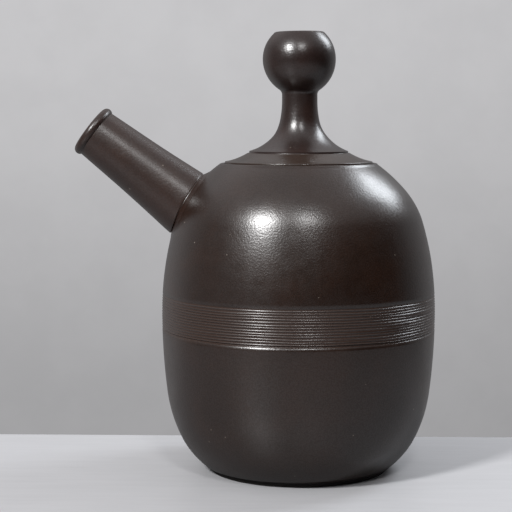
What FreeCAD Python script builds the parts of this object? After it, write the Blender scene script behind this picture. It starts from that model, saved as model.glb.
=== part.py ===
import FreeCAD, Part
import os
from math import acos, asin, atan2, cos, hypot, pi, radians, sin, sqrt

# Lidded sake bottle of dark stoneware, put together from six thrown and trimmed clay pieces:
# bottle body, foot ring, spout, the collar of clay that lutes the spout on, lid and lid knob.
# Millimetres, +Z up.  The origin is on the turning axis, in the plane that the foot stands on.
# The spout points towards -X.

# ---- foot ring ----
foot_height = 1.9
foot_inset = 1.65              # from the heel inwards
foot_width = 5.5
foot_rounding = 0.6

# ---- body: tangent arcs up and down from the widest point ----
# A lean is how far the surface faces up from level, in degrees; below the widest point it faces down.
belly_radius = 47.05
upper_belly_curve = 108.0      # radius of the long arc above the widest point
shoulder_curve = 29.95         # radius of the tight arc at the shoulder
neck_curve = 56.0              # radius of the flatter arc up to the rim
shoulder_lean = 17.1           # where the shoulder's arc starts
neck_lean = 41.7               # where the neck's arc starts
lower_belly_curve = 220.0      # radius of the long arc below the widest point
hip_curve = 49.4
heel_curve = 28.85
hip_lean = 7.1                 # where the hip's arc starts
heel_lean = 25.7               # where the heel's arc starts
heel_end_lean = 51.6           # where the heel meets the foot
wall = 4.0
base_thickness = 4.5

# ---- incised band round the widest point ----
band_rise = 0.55               # of the band's middle above the widest point
groove_count = 14
groove_pitch = 0.9
groove_depth = 0.4

# ---- rim, with the sunk ledge that the lid sits on ----
lid_radius = 25.3
lid_clearance = 0.45           # all round, between the lid's edge and the rim
rim_width = 1.35               # from the ledge out to where the rounding meets the skin
rim_rounding = 1.5
ledge_depth = 2.6
ledge_width = 5.15
ledge_thickness = 3.2

# ---- lid ----
lid_edge_rise = 0.6            # how far the lid's edge stands above the rim
lid_edge_rounding = 0.3
lid_crown_rise = 3.5           # from the rim up to the flat that carries the knob
lid_dish = 0.33                # sag of the dished top below a straight cone
lid_thickness = 3.6            # under the knob
crown_rounding = 0.9
crown_lean = 60.0              # where the rounding of the flat's edge turns into the dish
crown_margin = 0.25            # of the flat outside the knob's edge
flange_clearance = 0.6         # all round, between the flange and the mouth
flange_depth = 7.0             # below the ledge
flange_wall = 3.0
flange_rounding = 1.0

# ---- lid knob: skirt and flare, thin stem, ball with a flat top ----
knob_radius = 16.95
knob_edge_height = 0.6
stem_radius = 5.95
stem_curve = 34.8              # radius of the long arc at the foot of the stem
flare_curve = 11.8
skirt_curve = 19.0
flare_lean = 11.0              # degrees from upright where the stem's arc turns into the flare
skirt_lean = 43.8              # and where the flare turns into the skirt
stem_straight = 2.1            # length of the thinnest stretch, under the ball's fillet
ball_radius = 12.45
ball_fillet = 1.5
ball_flat_radius = 8.2
ball_flat_rounding = 1.1
ball_wall = 5.2
stem_bore_radius = 2.2
air_hole_radius = 1.6
knob_foot_width = 5.2          # of the ring that is luted to the lid
knob_hollow_height = 6.0

# ---- spout: turned on its own axis, which meets the body's skin at the root ----
spout_rim_gap = 3.0            # down the skin, from the rim to the collar
spout_elevation = 37.5         # degrees above level
spout_length = 41.1            # along the axis, from the skin to the face of the lip
spout_root_radius = 11.5
spout_neck_radius = 8.65       # just behind the lip
spout_bow = 0.3                # how far the side is hollowed between root and lip
spout_root_wall = 3.8
spout_neck_wall = 2.5
lip_stand = 0.7                # of the rolled lip outside the neck
lip_rounding = 1.7

# ---- collar of clay round the spout's root ----
collar_height = 1.0            # between body and spout
collar_inset = 0.45            # from the spout's edge inwards
collar_step = 0.25             # height of the upright edge under the spout
collar_spread = 3.8            # how far it runs out over the body
collar_hollow = 1.9            # power of its fall: 1 is a straight slope, 2 a deep hollow
collar_bite = 0.15             # how far its feather edge is pressed under the skin

# ---- cutting bodies ----
overrun = 12.0                 # length that a cutting body stands past what it cuts

UP = FreeCAD.Vector(0, 0, 1)
LEVEL = FreeCAD.Vector(0, 1, 0)
CENTRE = FreeCAD.Vector(0, 0, 0)
TOP_LEAN = radians(90)
half_turn = radians(180)
RING_POINTS = 24
COLLAR_STEPS = 5
TOLERANCE = 1e-7


def point(radius, height):
    """Point of an outline, in the half plane that is turned about an axis."""
    return FreeCAD.Vector(radius, 0, height)


def facing(lean):
    """Unit vector that a surface with this lean faces along, in the half plane."""
    return point(cos(lean), sin(lean))


def lines(*points):
    """Straight edges from each point to the next."""
    return [Part.LineSegment(start, end).toShape() for start, end in zip(points, points[1:])]


def arc(centre, radius, start_lean, end_lean):
    """Arc between two leans, which runs through the lean half way between them."""
    middle = (start_lean + end_lean) / 2
    ends = [centre + facing(lean) * radius for lean in (start_lean, middle, end_lean)]
    return Part.Arc(*ends).toShape()


def bowed(start, end, sag):
    """Arc from start to end, off the straight line by sag, to the right of the way it runs."""
    along = (end - start).normalize()
    middle = (start + end) / 2 + FreeCAD.Vector(along.z, 0, -along.x) * sag
    return Part.Arc(start, middle, end).toShape()


def turned(edges):
    """Solid of revolution about the Z axis of a closed outline."""
    solid = Part.Face(Part.Wire(Part.sortEdges(edges)[0])).revolve(CENTRE, UP, 360)
    return solid if solid.Volume > 0 else solid.reversed()


# ---- the body's skin ----
def skin_arcs(depth=0.0):
    """Tangent arcs of the skin moved inwards by depth, as (centre, radius, low lean, high lean).

    They run upwards from the heel to the rim, and all meet with a common tangent.
    """
    belly = point(belly_radius - upper_belly_curve, belly_height)
    shoulder = belly + facing(radians(shoulder_lean)) * (upper_belly_curve - shoulder_curve)
    neck = shoulder + facing(radians(neck_lean)) * (shoulder_curve - neck_curve)
    low_belly = point(belly_radius - lower_belly_curve, belly_height)
    hip = low_belly + facing(radians(-hip_lean)) * (lower_belly_curve - hip_curve)
    heel = hip + facing(radians(-heel_lean)) * (hip_curve - heel_curve)
    return [
        (heel, heel_curve - depth, -TOP_LEAN, radians(-heel_lean)),
        (hip, hip_curve - depth, radians(-heel_lean), radians(-hip_lean)),
        (low_belly, lower_belly_curve - depth, radians(-hip_lean), 0.0),
        (belly, upper_belly_curve - depth, 0.0, radians(shoulder_lean)),
        (shoulder, shoulder_curve - depth, radians(shoulder_lean), radians(neck_lean)),
        (neck, neck_curve - depth, radians(neck_lean), TOP_LEAN),
    ]


def lean_at_height(skin, height):
    """Lean of the skin where it passes this height."""
    for centre, radius, low, high in skin:
        if centre.z + radius * sin(low) <= height <= centre.z + radius * sin(high):
            return asin((height - centre.z) / radius)
    raise ValueError(f"the skin does not pass the height {height}")


def skin_point(skin, lean):
    """Point of the skin with this lean."""
    for centre, radius, low, high in skin:
        if low <= lean <= high:
            return centre + facing(lean) * radius
    raise ValueError(f"the skin has no place with the lean {lean}")


def skin_edges(skin, start_lean, end_lean):
    """Edges of the skin between two leans, the lower one first."""
    edges = []
    for centre, radius, low, high in skin:
        first, last = max(low, start_lean), min(high, end_lean)
        if last - first > 1e-6:
            edges.append(arc(centre, radius, first, last))
    return edges


def grooves(skin):
    """Hollow arcs of the incised band from the bottom up, and the leans of the skin at its ends."""
    bottom = belly_height + band_rise - groove_count * groove_pitch / 2
    leans = [lean_at_height(skin, bottom + i * groove_pitch) for i in range(groove_count + 1)]
    edges = []
    for low, high in zip(leans, leans[1:]):
        start, end = skin_point(skin, low), skin_point(skin, high)
        edges.append(bowed(end, start, groove_depth))
    return edges, leans[0], leans[-1]


def further_down(skin, lean, distance):
    """Lean of the skin at a distance down it from the place with the lean given."""
    for centre, radius, low, high in reversed(skin):
        if low < lean:
            length = (lean - low) * radius
            if distance <= length:
                return lean - distance / radius
            lean, distance = low, distance - length
    raise ValueError(f"the skin ends {distance} mm short")


# ---- levels and radii that follow from the sizes ----
drops = ((heel_curve, heel_end_lean, heel_lean), (hip_curve, heel_lean, hip_lean),
         (lower_belly_curve, hip_lean, 0.0))
belly_height = foot_height + sum(curve * (sin(radians(low)) - sin(radians(high)))
                                 for curve, low, high in drops)
skin = skin_arcs()
lining = skin_arcs(wall)
foot_radius = skin_point(skin, radians(-heel_end_lean)).x - foot_inset

ledge_radius = lid_radius + lid_clearance
mouth_radius = ledge_radius - ledge_width
neck_centre, neck_radius = skin[-1][:2]
rim_lean = acos((ledge_radius + rim_width - neck_centre.x) / neck_radius)
rim_centre = skin_point(skin, rim_lean) - facing(rim_lean) * rim_rounding
rim_height = rim_centre.z + rim_rounding
ledge_height = rim_height - ledge_depth
crown_height = rim_height + lid_crown_rise

# ---- the spout's axis ----
spout_mouth_bore = spout_neck_radius - spout_neck_wall
spout_root_bore = spout_root_radius - spout_root_wall
collar_radius = spout_root_radius - collar_inset
root_lean = further_down(skin, rim_lean, spout_rim_gap + collar_spread + collar_radius)
root = skin_point(skin, root_lean)
root = FreeCAD.Vector(-root.x, 0, root.z)
aim = radians(spout_elevation)
outwards = FreeCAD.Vector(-cos(aim), 0, sin(aim))
across = FreeCAD.Vector(sin(aim), 0, cos(aim))


def aimed(solid):
    """Solid made about the Z axis, moved to the spout's root and turned to its axis."""
    solid.rotate(CENTRE, LEVEL, spout_elevation - 90)
    solid.translate(root)
    return solid


def spout_bore():
    """Tapered bore from inside the body to past the lip, where the wall of the lip is cut away."""
    taper = (spout_root_bore - spout_mouth_bore) / spout_length
    foot = point(spout_root_bore + taper * overrun, -overrun)
    top = point(spout_mouth_bore - taper * overrun, spout_length + overrun)
    edges = lines(point(0, foot.z), foot, top, point(0, top.z), point(0, foot.z))
    return aimed(turned(edges))


def skin_solid(lift=0.0):
    """Full solid inside the skin, raised by lift all over."""
    raised = skin_arcs(-lift)
    low = radians(-heel_end_lean)
    edges = skin_edges(raised, low, rim_lean)
    bottom, top = skin_point(raised, low), skin_point(raised, rim_lean)
    return turned(edges + lines(top, point(0, top.z), point(0, bottom.z), bottom))


# ---- the pieces ----
def bottle_body():
    """Thrown vessel with the incised band, the ledge for the lid and the hole for the spout."""
    low = radians(-heel_end_lean)
    band, band_low, band_high = grooves(skin)
    edges = skin_edges(skin, low, band_low) + band + skin_edges(skin, band_high, rim_lean)
    edges.append(arc(rim_centre, rim_rounding, rim_lean, TOP_LEAN))

    floor_height = foot_height + base_thickness
    under_ledge = ledge_height - ledge_thickness
    floor_lean = lean_at_height(lining, floor_height)
    ledge_lean = lean_at_height(lining, under_ledge)
    edges += lines(point(rim_centre.x, rim_height), point(ledge_radius, rim_height),
                   point(ledge_radius, ledge_height), point(mouth_radius, ledge_height),
                   point(mouth_radius, under_ledge), skin_point(lining, ledge_lean))
    edges += skin_edges(lining, floor_lean, ledge_lean)
    edges += lines(skin_point(lining, floor_lean), point(0, floor_height),
                   point(0, foot_height), skin_point(skin, low))
    return turned(edges).cut(spout_bore())


def foot_ring():
    """Low ring that the bottle stands on, rounded where it meets the table."""
    inner = foot_radius - foot_width
    outer_centre = point(foot_radius - foot_rounding, foot_rounding)
    inner_centre = point(inner + foot_rounding, foot_rounding)
    edges = lines(point(inner, foot_rounding), point(inner, foot_height),
                  point(foot_radius, foot_height), point(foot_radius, foot_rounding))
    edges.append(arc(outer_centre, foot_rounding, 0, -TOP_LEAN))
    edges += lines(point(outer_centre.x, 0), point(inner_centre.x, 0))
    edges.append(arc(inner_centre, foot_rounding, -TOP_LEAN, -half_turn))
    return turned(edges)


def spout():
    """Tapered tube with a rolled lip, cut at the root to stand off the body's skin."""
    lip_radius = spout_neck_radius + lip_stand
    lip_centre = point(lip_radius - lip_rounding, spout_length - lip_rounding)
    behind_lip = -acos((spout_neck_radius - lip_centre.x) / lip_rounding)
    neck = lip_centre + facing(behind_lip) * lip_rounding
    taper = (spout_root_radius - spout_neck_radius) / spout_length
    root_edge = point(spout_root_radius, 0)
    foot = point(spout_root_radius + taper * overrun, -overrun)
    mouth_rounding = lip_centre.x - spout_mouth_bore
    mouth_centre = point(lip_centre.x, spout_length - mouth_rounding)
    edges = lines(point(spout_mouth_bore, mouth_centre.z), point(spout_mouth_bore, foot.z),
                  foot, root_edge)
    edges.append(bowed(neck, root_edge, spout_bow))
    edges.append(arc(lip_centre, lip_rounding, behind_lip, TOP_LEAN))
    edges.append(arc(mouth_centre, mouth_rounding, TOP_LEAN, half_turn))
    tube = aimed(turned(edges))
    return tube.cut(skin_solid(collar_height)).cut(spout_bore())


def lift_over_skin(place):
    """Height of a place over the body's skin, square to the skin."""
    radius = hypot(place.x, place.y)
    for centre, curve, low, high in skin:
        if low <= atan2(place.z - centre.z, radius - centre.x) <= high:
            return hypot(place.z - centre.z, radius - centre.x) - curve
    raise ValueError(f"no part of the skin lies under {place}")


def ring(radius, height_at):
    """Closed curve at a radius about the spout's axis, with the height along it that is asked for."""
    turns = [2 * pi * i / RING_POINTS for i in range(RING_POINTS)]
    sides = [(across * cos(turn) + LEVEL * sin(turn)) * radius for turn in turns]
    curve = Part.BSplineCurve()
    curve.interpolate([root + side + outwards * height_at(side) for side in sides], True)
    return Part.Wire(curve.toShape())


def height_for_lift(side, lift):
    """Height along the spout's axis, beside it, at which this lift over the skin is reached."""
    low, high = -overrun, overrun
    while high - low > TOLERANCE:
        middle = (low + high) / 2
        if lift_over_skin(root + side + outwards * middle) < lift:
            low = middle
        else:
            high = middle
    return low


def spout_collar():
    """Ring of clay between body and spout, which runs out over the skin in a hollow fillet."""
    rings = [ring(collar_radius, lambda side: overrun)]
    for step in range(COLLAR_STEPS + 1):
        share = step / COLLAR_STEPS
        radius = collar_radius + collar_spread * share
        lift = (collar_height - collar_step) * (1 - share) ** collar_hollow - collar_bite * share
        rings.append(ring(radius, lambda side: height_for_lift(side, lift)))
    rings.append(ring(collar_radius + collar_spread, lambda side: -overrun))
    fillet = Part.makeLoft(rings, True, True)
    return fillet.common(skin_solid(collar_height)).cut(skin_solid()).cut(spout_bore())


def lid():
    """Dished disc that drops onto the ledge, with a flange that holds it when the bottle tips."""
    crown_radius = knob_radius + crown_margin
    crown_centre = point(crown_radius, crown_height - crown_rounding)
    edge_height = rim_height + lid_edge_rise
    edge_centre = point(lid_radius - lid_edge_rounding, edge_height - lid_edge_rounding)
    crown_end = crown_centre + facing(radians(crown_lean)) * crown_rounding
    edges = lines(point(stem_bore_radius, crown_height), point(crown_radius, crown_height))
    edges.append(arc(crown_centre, crown_rounding, TOP_LEAN, radians(crown_lean)))
    edges.append(bowed(crown_end, point(edge_centre.x, edge_height), lid_dish))
    edges.append(arc(edge_centre, lid_edge_rounding, TOP_LEAN, 0))

    flange_radius = mouth_radius - flange_clearance
    flange_bottom = ledge_height - flange_depth
    turn = flange_bottom + flange_rounding
    outer_centre = point(flange_radius - flange_rounding, turn)
    inner_centre = point(flange_radius - flange_wall + flange_rounding, turn)
    edges += lines(point(lid_radius, edge_centre.z), point(lid_radius, ledge_height),
                   point(flange_radius, ledge_height), point(flange_radius, turn))
    edges.append(arc(outer_centre, flange_rounding, 0, -TOP_LEAN))
    edges += lines(point(outer_centre.x, flange_bottom), point(inner_centre.x, flange_bottom))
    edges.append(arc(inner_centre, flange_rounding, -TOP_LEAN, -half_turn))
    underside = crown_height - lid_thickness
    edges += lines(point(flange_radius - flange_wall, turn),
                   point(flange_radius - flange_wall, underside),
                   point(stem_bore_radius, underside), point(stem_bore_radius, crown_height))
    return turned(edges)


def knob_side():
    """Outline of the knob from its edge on the lid up to the stem's thinnest place."""
    edge = point(knob_radius, crown_height + knob_edge_height)
    stem_end, flare_end = radians(flare_lean), radians(skirt_lean)
    flare_reach = (stem_radius + stem_curve * (1 - cos(stem_end))
                   + flare_curve * (cos(stem_end) - cos(flare_end)))
    skirt_end = acos(cos(flare_end) - (knob_radius - flare_reach) / skirt_curve)
    skirt_centre = edge + facing(skirt_end) * skirt_curve
    flare_centre = skirt_centre - facing(flare_end) * (skirt_curve - flare_curve)
    stem_centre = flare_centre + facing(stem_end) * (stem_curve - flare_curve)
    edges = [
        arc(skirt_centre, skirt_curve, half_turn + skirt_end, half_turn + flare_end),
        arc(flare_centre, flare_curve, half_turn + flare_end, half_turn + stem_end),
        arc(stem_centre, stem_curve, half_turn + stem_end, half_turn),
    ]
    return edges, stem_centre.z


def lid_knob():
    """Hollow ball on a thin stem that flares out to the lid, bored through to let air in."""
    edges, waist_height = knob_side()
    fillet_centre = point(stem_radius + ball_fillet, waist_height + stem_straight)
    fillet_end = acos(fillet_centre.x / (ball_radius + ball_fillet))
    ball_centre = fillet_centre + facing(half_turn - fillet_end) * (ball_radius + ball_fillet)
    edges += lines(point(stem_radius, waist_height), point(stem_radius, fillet_centre.z))
    edges.append(arc(fillet_centre, ball_fillet, half_turn, half_turn - fillet_end))

    top_height = ball_centre.z + sqrt(ball_radius ** 2 - ball_flat_radius ** 2)
    turn_drop = top_height - ball_flat_rounding - ball_centre.z
    turn_lean = asin(turn_drop / (ball_radius - ball_flat_rounding))
    turn_centre = ball_centre + facing(turn_lean) * (ball_radius - ball_flat_rounding)
    edges.append(arc(ball_centre, ball_radius, -fillet_end, turn_lean))
    edges.append(arc(turn_centre, ball_flat_rounding, turn_lean, TOP_LEAN))

    hollow_radius = ball_radius - ball_wall
    hollow_top = acos(air_hole_radius / hollow_radius)
    hollow_foot = -acos(stem_bore_radius / hollow_radius)
    edges += lines(point(turn_centre.x, top_height), point(air_hole_radius, top_height),
                   ball_centre + facing(hollow_top) * hollow_radius)
    edges.append(arc(ball_centre, hollow_radius, hollow_foot, hollow_top))
    edges += lines(ball_centre + facing(hollow_foot) * hollow_radius,
                   point(stem_bore_radius, crown_height + knob_hollow_height),
                   point(knob_radius - knob_foot_width, crown_height),
                   point(knob_radius, crown_height),
                   point(knob_radius, crown_height + knob_edge_height))
    return turned(edges)


pieces = {
    "bottle_body": bottle_body,
    "foot_ring": foot_ring,
    "spout": spout,
    "spout_collar": spout_collar,
    "lid": lid,
    "lid_knob": lid_knob,
}

os.makedirs("parts", exist_ok=True)
for name, make in pieces.items():
    make().exportStep(f"parts/{name}.step")
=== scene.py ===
"""Looks of a lidded stoneware sake bottle, dressed round its packed construction model.

Sizes are in millimetres and leans in degrees, as in the construction, and meshes are handed over
in metres.  Every piece is a grid of turns by outline points, worked out with numpy: a turn runs
round the piece's axis, and an outline runs along its section with the clay on its left.
"""

import logging
import math
from collections.abc import Callable
from dataclasses import dataclass, field
from enum import StrEnum

import bpy
import numpy as np
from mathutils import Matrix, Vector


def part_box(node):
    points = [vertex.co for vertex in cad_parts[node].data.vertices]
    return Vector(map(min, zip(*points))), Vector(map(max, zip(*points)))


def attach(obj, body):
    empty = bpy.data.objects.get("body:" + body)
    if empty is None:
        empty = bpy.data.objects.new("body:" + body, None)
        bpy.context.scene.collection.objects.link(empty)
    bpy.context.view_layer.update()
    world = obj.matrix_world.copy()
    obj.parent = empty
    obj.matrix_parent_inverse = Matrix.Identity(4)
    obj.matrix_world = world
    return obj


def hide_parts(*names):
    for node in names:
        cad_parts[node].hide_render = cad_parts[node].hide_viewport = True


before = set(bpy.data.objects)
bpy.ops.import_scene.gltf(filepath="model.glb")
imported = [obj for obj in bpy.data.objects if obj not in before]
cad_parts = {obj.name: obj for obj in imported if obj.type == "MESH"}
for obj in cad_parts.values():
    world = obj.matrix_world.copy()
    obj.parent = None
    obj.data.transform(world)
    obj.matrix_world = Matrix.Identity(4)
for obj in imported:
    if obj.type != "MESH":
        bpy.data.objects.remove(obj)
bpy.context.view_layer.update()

Array = np.ndarray
Colour = tuple[float, float, float]

MM = 0.001
QUARTER = math.pi / 2
MIDDLING = (0.3, 0.7)  # levels between which nearly all of a noise lies
BAND_RISE = 0.55
log = logging.getLogger("sake_bottle")


class Body(StrEnum):
    """Bodies that a piece can ride on."""

    VESSEL = "vessel"
    LID_UNIT = "lid_unit"


class LampShape(StrEnum):
    """Outlines that a lamp can have."""

    ROUND = "DISK"
    OBLONG = "RECTANGLE"


# ---------------------------------------------------------------- shapes
class Outline:
    """Section of a turned piece, gathered as radius and height along lines and arcs."""

    def __init__(self, radius: float, height: float, spacing: float = 0.6) -> None:
        """Start at a place.

        Args:
            radius: Distance from the axis of the first point.
            height: Height of the first point.
            spacing: Usual distance between points.
        """
        self.runs: list[Array] = [np.array([[radius, height]])]
        self.spacing = spacing

    @property
    def end(self) -> Array:
        """Last point so far."""
        return self.runs[-1][-1]

    def line(self, radius: float, height: float, spacing: float | None = None) -> "Outline":
        """Straight run to a place, in even steps.

        Args:
            radius: Radius of the end.
            height: Height of the end.
            spacing: Distance between points, if it isn't the usual one.

        Returns:
            The outline itself.
        """
        start, end = self.end, np.array([radius, height])
        count = max(1, math.ceil(np.linalg.norm(end - start) / (spacing or self.spacing)))
        share = np.linspace(0.0, 1.0, count + 1)[1:, None]
        self.runs.append(start + (end - start) * share)
        return self

    def arc(self, centre: Array, radius: float, start: float, end: float,
            spacing: float | None = None) -> "Outline":
        """Arc between two leans: centre plus radius times (cosine, sine) of the lean.

        Args:
            centre: Centre of the arc, as radius and height.
            radius: Radius of the arc.
            start: First lean, in radians.
            end: Last lean, in radians.
            spacing: Distance between points, if it isn't the usual one.

        Returns:
            The outline itself.
        """
        count = max(4, math.ceil(abs(end - start) * radius / (spacing or self.spacing)))
        lean = np.linspace(start, end, count + 1)
        self.runs.append((centre + radius * facing(lean))[1:])
        return self

    def bow(self, radius: float, height: float, sag: float) -> "Outline":
        """Shallow parabola to a place: the straight line less sag times 4 t (1 - t), to its left.

        Args:
            radius: Radius of the end.
            height: Height of the end.
            sag: Depth of the hollow half way.

        Returns:
            The outline itself.
        """
        start, end = self.end, np.array([radius, height])
        along = end - start
        length = float(np.linalg.norm(along))
        left = np.array([-along[1], along[0]]) / length
        count = max(4, math.ceil(length / self.spacing))
        share = np.linspace(0.0, 1.0, count + 1)[1:, None]
        self.runs.append(start + along * share + left * sag * 4 * share * (1 - share))
        return self

    def points(self) -> Array:
        """All points, as an array of radius and height."""
        return np.concatenate(self.runs)


def facing(lean: Array | float) -> Array:
    """Unit vectors (cosine, sine) of leans in radians."""
    return np.stack([np.cos(lean), np.sin(lean)], axis=-1)


def section_normals(points: Array) -> Array:
    """Outward unit normals of a section: its tangent turned a quarter to the right.

    Args:
        points: Radius and height of each point.

    Returns:
        A unit vector for each point.
    """
    tangent = np.gradient(points, axis=0)
    normal = np.stack([tangent[:, 1], -tangent[:, 0]], axis=-1)
    return normal / np.maximum(np.linalg.norm(normal, axis=-1, keepdims=True), 1e-9)


def turns(count: int) -> Array:
    """Evenly spaced angles of one whole turn, as a column."""
    return np.linspace(0.0, 2 * math.pi, count, endpoint=False)[:, None]


def swept(turn: Array, radius: Array, height: Array) -> Array:
    """Places about the Z axis: radius along the turn's direction, and height straight up."""
    turn, radius, height = np.broadcast_arrays(turn, radius, height)
    return np.stack([radius * np.cos(turn), radius * np.sin(turn), height], axis=-1)


def smooth(low: float, high: float, value: Array) -> Array:
    """Smooth step: 0 under low, 1 over high, and 3 t t - 2 t t t between."""
    share = np.clip((value - low) / (high - low), 0.0, 1.0)
    return share * share * (3 - 2 * share)


def plateau(edges: tuple[float, float, float, float], value: Array) -> Array:
    """Smooth step up between the first two edges, less one down between the last two."""
    return smooth(edges[0], edges[1], value) * (1 - smooth(edges[2], edges[3], value))


def waves(turn: Array, along: Array, seed: int, turns_up_to: int = 5, length: float = 30.0) -> Array:
    """Gentle unevenness of about unit size: a sum of waves round the turn and along the section.

    Args:
        turn: Angles, as a column.
        along: Distance along the section, as a row.
        seed: Seed of the random draw.
        turns_up_to: Most waves in one turn.
        length: Shortest wave along the section.

    Returns:
        The sum of cosines, each with a whole number of waves round the turn.
    """
    rng = np.random.default_rng(seed)
    total = np.zeros(np.broadcast_shapes(turn.shape, along.shape))
    for count in range(1, turns_up_to + 1):
        for _ in range(2):
            rate = rng.uniform(-1.0, 1.0) * 2 * math.pi / length
            phase = rng.uniform(0.0, 2 * math.pi)
            total += np.cos(count * turn + rate * along + phase) / math.sqrt(count)
    return total / turns_up_to


def grain(shape: tuple[int, int], blur: tuple[float, float], seed: int) -> Array:
    """Random relief of unit spread that closes on itself: white noise blurred by a Gaussian.

    Args:
        shape: Turns and outline points.
        blur: Spread of the Gaussian in turns and in outline points.
        seed: Seed of the random draw.

    Returns:
        The relief on the grid.
    """
    noise = np.fft.fft2(np.random.default_rng(seed).standard_normal(shape))
    rates = np.meshgrid(*[np.fft.fftfreq(count) for count in shape], indexing="ij")
    damping = sum((math.pi * rate * spread) ** 2 * 2 for rate, spread in zip(rates, blur))
    relief = np.fft.ifft2(noise * np.exp(-damping)).real
    return (relief - relief.mean()) / relief.std()


def add_mesh(name: str, places: Array, ring: bool, attributes: dict[str, Array] | None = None,
             crease: float = 40.0) -> bpy.types.Object:
    """Mesh of a grid whose turns close on themselves.

    Quads join (turn, point), (turn + 1, point), (turn + 1, point + 1), (turn, point + 1).  An
    open section has both ends on the axis, where a fan of triangles closes it round one pole.

    Args:
        name: Name of the piece.
        places: Grid of turns by outline points by x, y, z, in millimetres.
        ring: Whether the section closes on itself too.
        attributes: Values for each place of the grid, by name.
        crease: Angle in degrees past which an edge is drawn sharp.

    Returns:
        The new object.
    """
    around, along = places.shape[:2]
    inner = places if ring else places[:, 1:-1]
    rows = inner.shape[1]
    index = np.arange(around * rows).reshape(around, rows)
    onward = np.roll(index, -1, axis=0)
    if ring:
        quads = np.stack([index, onward, np.roll(onward, -1, 1), np.roll(index, -1, 1)], axis=-1)
    else:
        quads = np.stack([index[:, :-1], onward[:, :-1], onward[:, 1:], index[:, 1:]], axis=-1)
    corners = [quads.reshape(-1)]
    sizes = [np.full(quads.shape[0] * quads.shape[1], 4)]
    points = [inner.reshape(-1, 3)]
    if not ring:
        points.append(np.stack([places[:, 0].mean(0), places[:, -1].mean(0)]))
        pole = np.full(around, around * rows)
        corners.append(np.stack([pole, onward[:, 0], index[:, 0]], axis=-1).reshape(-1))
        corners.append(np.stack([index[:, -1], onward[:, -1], pole + 1], axis=-1).reshape(-1))
        sizes.append(np.full(2 * around, 3))
    corner = np.concatenate(corners)
    size = np.concatenate(sizes)
    point = np.concatenate(points) * MM

    mesh = bpy.data.meshes.new(name)
    mesh.vertices.add(len(point))
    mesh.vertices.foreach_set("co", point.astype(np.float32).reshape(-1))
    mesh.loops.add(len(corner))
    mesh.loops.foreach_set("vertex_index", corner.astype(np.int32))
    mesh.polygons.add(len(size))
    starts = np.concatenate([[0], np.cumsum(size)[:-1]])
    mesh.polygons.foreach_set("loop_start", starts.astype(np.int32))
    mesh.update(calc_edges=True)
    for label, grid in (attributes or {}).items():
        value = grid if ring else grid[:, 1:-1]
        value = value.reshape(-1)
        if not ring:
            value = np.append(value, [grid[:, 0].mean(), grid[:, -1].mean()])
        store = mesh.attributes.new(label, "FLOAT", "POINT")
        store.data.foreach_set("value", value.astype(np.float32))
    mesh.polygons.foreach_set("use_smooth", np.ones(len(size), bool))
    mesh.set_sharp_from_angle(angle=math.radians(crease))
    piece = bpy.data.objects.new(name, mesh)
    bpy.context.scene.collection.objects.link(piece)
    return piece


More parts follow.
